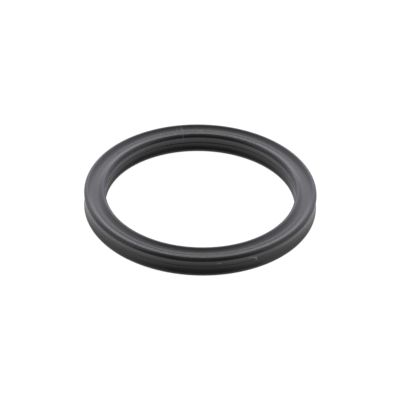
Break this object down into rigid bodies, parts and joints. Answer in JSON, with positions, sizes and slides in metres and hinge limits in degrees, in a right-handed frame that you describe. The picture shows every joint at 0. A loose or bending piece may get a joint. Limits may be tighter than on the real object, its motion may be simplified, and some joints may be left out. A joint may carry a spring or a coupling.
{
  "type": "quad ring",
  "caption": "Moulded rubber sealing ring of square section, with a round lobe at each corner and a shallow hollow in each side.",
  "frame": {"origin": "centre of the ring, on its axis and at the middle of its height", "axes": "+Z along the ring's axis; X and Y in its mid-plane, where the mould halves meet"},
  "size_m": [0.0576, 0.0576, 0.0054],
  "materials": {
    "rubber": "satin moulded black nitrile rubber"
  },
  "bodies": {
    "root": {"quad_ring": "rubber"}
  },
  "joints": []
}
